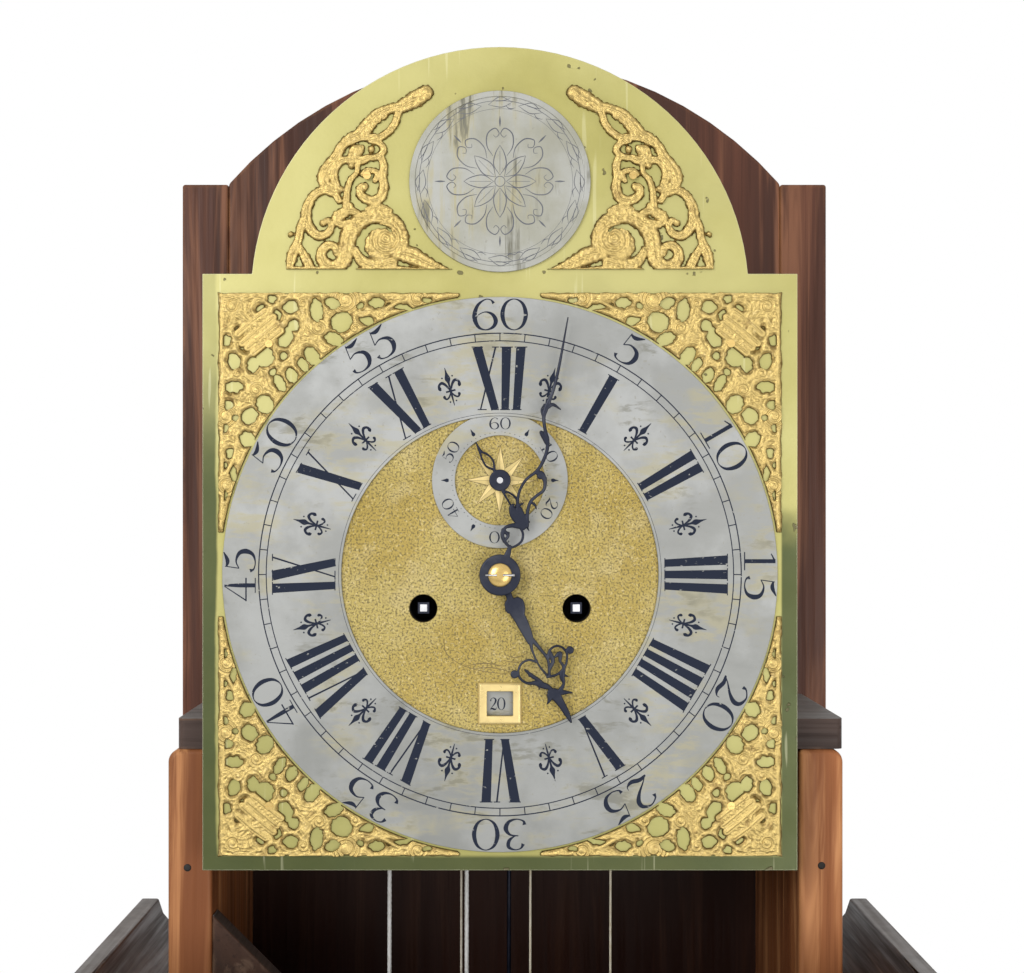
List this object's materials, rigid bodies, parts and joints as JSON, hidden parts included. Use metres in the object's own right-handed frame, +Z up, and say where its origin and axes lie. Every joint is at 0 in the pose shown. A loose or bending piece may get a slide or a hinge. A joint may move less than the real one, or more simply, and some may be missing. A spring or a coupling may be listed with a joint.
{
  "type": "longcase clock",
  "caption": "Tall weight-driven pendulum clock with an arched brass dial, shown without its hood, over a wooden trunk and base.",
  "frame": {"origin": "on the floor, under the middle of the case", "axes": "+X to the right as seen from the front, +Y into the wall, +Z up"},
  "size_m": [0.447, 0.2545, 2.0776],
  "materials": {
    "red_pine": "stained, worn",
    "orange_pine": "waxed, worn",
    "dark_seat": "bare, dusty",
    "dark_rail": "stained, dusty",
    "case_wood": "waxed",
    "silvered_brass": "silvered, rubbed",
    "gilt_brass": "gilt",
    "dial_brass": "patinated",
    "blued_steel": "blued",
    "steel": "polished",
    "bell_metal": "cast",
    "white_cord": "twisted",
    "gut": "twisted",
    "cream_cord": "twisted",
    "pendulum_brass": "lacquered",
    "weight_brass": "polished",
    "brass": "polished"
  },
  "bodies": {
    "case": {"backboard": "red_pine", "trunk_side_left": "orange_pine", "trunk_side_right": "orange_pine", "seatboard": "dark_seat", "trunk_frame": "case_wood", "throat_mouldings": "dark_rail", "corner_gusset": "dark_rail", "base_boards": "case_wood", "base_mouldings": "case_wood", "plinth": "case_wood", "hinge_leaves_fixed": "brass", "dial_plate": "dial_brass", "chapter_ring": "silvered_brass", "seconds_ring": "silvered_brass", "arch_boss": "silvered_brass", "spandrels": "gilt_brass", "dial_fixings": "brass", "date_frame": "gilt_brass", "front_plate": "brass", "back_plate": "brass", "pillars": "brass", "seat_bolts": "steel", "back_cock": "brass", "bell": "bell_metal", "repeat_cord": "cream_cord"},
    "door": {"trunk_door": "case_wood", "hinge_leaves_moving": "brass", "door_lock": "steel"},
    "lock_bolt": {"lock_bolt": "steel"},
    "minute": {"centre_arbor": "brass", "minute_hand": "blued_steel"},
    "hour": {"hour_wheel": "brass", "hour_hand": "blued_steel"},
    "minute_wheel": {"minute_wheel": "brass"},
    "third": {"third_arbor": "steel"},
    "escape": {"escape_arbor": "steel", "seconds_hand": "blued_steel"},
    "date_ring": {"date_ring": "silvered_brass"},
    "great_going": {"great_wheel_going": "brass"},
    "great_strike": {"great_wheel_strike": "brass"},
    "pin_wheel": {"pin_wheel": "brass"},
    "gathering": {"gathering_wheel": "brass"},
    "warning": {"warning_wheel": "brass"},
    "fly": {"fly": "steel"},
    "pendulum": {"pendulum": "pendulum_brass"},
    "pallets": {"pallets": "steel"},
    "weight_going": {"weight_going": "weight_brass", "weight_line_going": "gut"},
    "weight_strike": {"weight_strike": "weight_brass", "weight_line_strike": "white_cord"},
    "pulley_going": {"pulley_going": "brass"},
    "pulley_strike": {"pulley_strike": "brass"},
    "barrel_going": {"barrel_going": "brass", "line_turns_going": "gut"},
    "barrel_strike": {"barrel_strike": "brass", "line_turns_strike": "white_cord"},
    "hammer": {"hammer": "steel"},
    "rack": {"rack": "steel"},
    "rack_hook": {"rack_hook": "steel"},
    "lifting_piece": {"lifting_piece": "steel"}
  },
  "joints": [
    {"name": "door_hinge", "type": "hinge", "parent": "case", "child": "door", "pos_m": [0.1305, -0.0906, 1.04], "axis": [0, 0, 1], "range_deg": [0, 105]},
    {"name": "lock_bolt_slide", "type": "slide", "parent": "door", "child": "lock_bolt", "axis": [-1, 0, 0], "range_m": [0, 0.008]},
    {"name": "minute_turn", "type": "hinge", "parent": "case", "child": "minute", "pos_m": [-0.003, -0.06, 1.766], "axis": [0, 1, 0], "continuous": true},
    {"name": "hour_turn", "type": "hinge", "parent": "case", "child": "hour", "pos_m": [-0.003, -0.06, 1.766], "axis": [0, 1, 0], "continuous": true},
    {"name": "minute_wheel_turn", "type": "hinge", "parent": "case", "child": "minute_wheel", "pos_m": [-0.003, -0.056, 1.734], "axis": [0, 1, 0], "continuous": true},
    {"name": "third_turn", "type": "hinge", "parent": "case", "child": "third", "pos_m": [0.00925, -0.02, 1.79218], "axis": [0, 1, 0], "continuous": true},
    {"name": "escape_turn", "type": "hinge", "parent": "case", "child": "escape", "pos_m": [-0.003, -0.02, 1.8142], "axis": [0, 1, 0], "continuous": true},
    {"name": "date_turn", "type": "hinge", "parent": "case", "child": "date_ring", "pos_m": [-0.003, -0.087, 1.766], "axis": [0, 1, 0], "continuous": true},
    {"name": "great_going_turn", "type": "hinge", "parent": "case", "child": "great_going", "pos_m": [0.0363, 0.01, 1.7486], "axis": [0, 1, 0], "continuous": true},
    {"name": "gathering_turn", "type": "hinge", "parent": "case", "child": "gathering", "pos_m": [-0.02502, -0.02, 1.80896], "axis": [0, 1, 0], "continuous": true},
    {"name": "great_strike_turn", "type": "hinge", "parent": "case", "child": "great_strike", "pos_m": [-0.0423, 0.01, 1.7486], "axis": [0, 1, 0], "continuous": true},
    {"name": "pin_wheel_turn", "type": "hinge", "parent": "case", "child": "pin_wheel", "pos_m": [-0.039, -0.02, 1.788], "axis": [0, 1, 0], "continuous": true},
    {"name": "warning_turn", "type": "hinge", "parent": "case", "child": "warning", "pos_m": [-0.03905, -0.02, 1.82299], "axis": [0, 1, 0], "continuous": true},
    {"name": "fly_turn", "type": "hinge", "parent": "case", "child": "fly", "pos_m": [-0.02595, -0.005, 1.83056], "axis": [0, 1, 0], "continuous": true},
    {"name": "pendulum_swing", "type": "hinge", "parent": "case", "child": "pendulum", "pos_m": [0.0025, 0.048, 1.842], "axis": [0, -1, 0], "range_deg": [-2.5, 2.5]},
    {"name": "pallet_swing", "type": "hinge", "parent": "case", "child": "pallets", "pos_m": [-0.003, 0, 1.842], "axis": [0, -1, 0], "range_deg": [-2.6, 2.6]},
    {"name": "weight_going_slide", "type": "slide", "parent": "case", "child": "weight_going", "axis": [0, 0, 1], "range_m": [-0.93, 0.12], "deforming": ["weight_line_going"]},
    {"name": "pulley_going_turn", "type": "hinge", "parent": "weight_going", "child": "pulley_going", "pos_m": [0.03645, -0.00085, 1.43], "axis": [0, 1, 0], "range_deg": [-2405, 328]},
    {"name": "barrel_going_turn", "type": "hinge", "parent": "case", "child": "barrel_going", "pos_m": [0.0363, 0, 1.7486], "axis": [0, 1, 0], "range_deg": [-4821, 640]},
    {"name": "weight_strike_slide", "type": "slide", "parent": "case", "child": "weight_strike", "axis": [0, 0, 1], "range_m": [-0.74, 0.12], "deforming": ["weight_line_strike"]},
    {"name": "pulley_strike_turn", "type": "hinge", "parent": "weight_strike", "child": "pulley_strike", "pos_m": [-0.04295, -0.00035, 1.43], "axis": [0, 1, 0], "range_deg": [-1988, 340]},
    {"name": "barrel_strike_turn", "type": "hinge", "parent": "case", "child": "barrel_strike", "pos_m": [-0.0423, 0, 1.7486], "axis": [0, 1, 0], "range_deg": [-3840, 640]},
    {"name": "hammer_swing", "type": "hinge", "parent": "case", "child": "hammer", "pos_m": [-0.0665, -0.012, 1.79], "axis": [0, -1, 0], "range_deg": [0, 12], "stiffness_Nm_per_rad": 0.25},
    {"name": "rack_swing", "type": "hinge", "parent": "case", "child": "rack", "pos_m": [-0.027, -0.066, 1.714], "axis": [0, 1, 0], "range_deg": [0, 17]},
    {"name": "rack_hook_swing", "type": "hinge", "parent": "case", "child": "rack_hook", "pos_m": [-0.065, -0.066, 1.814], "axis": [0, -1, 0], "range_deg": [0, 12]},
    {"name": "lifting_piece_swing", "type": "hinge", "parent": "case", "child": "lifting_piece", "pos_m": [0.023, -0.074, 1.716], "axis": [0, 1, 0], "range_deg": [0, 5]}
  ],
  "couplings": [
    {"joint": "minute_wheel_turn", "follows": "minute_turn", "ratio": -1},
    {"joint": "hour_turn", "follows": "minute_turn", "ratio": 0.083333},
    {"joint": "third_turn", "follows": "minute_turn", "ratio": -7.5},
    {"joint": "escape_turn", "follows": "minute_turn", "ratio": 60},
    {"joint": "great_going_turn", "follows": "minute_turn", "ratio": -0.083333},
    {"joint": "pin_wheel_turn", "follows": "gathering_turn", "ratio": -0.125},
    {"joint": "great_strike_turn", "follows": "gathering_turn", "ratio": 0.011905},
    {"joint": "warning_turn", "follows": "gathering_turn", "ratio": -7},
    {"joint": "fly_turn", "follows": "gathering_turn", "ratio": 48},
    {"joint": "pallet_swing", "follows": "pendulum_swing", "ratio": 1},
    {"joint": "pulley_going_turn", "follows": "weight_going_slide", "rad_per_m": 44.743},
    {"joint": "barrel_going_turn", "follows": "weight_going_slide", "rad_per_m": 90.09},
    {"joint": "pulley_strike_turn", "follows": "weight_strike_slide", "rad_per_m": 46.404},
    {"joint": "barrel_strike_turn", "follows": "weight_strike_slide", "rad_per_m": 90.09}
  ]
}
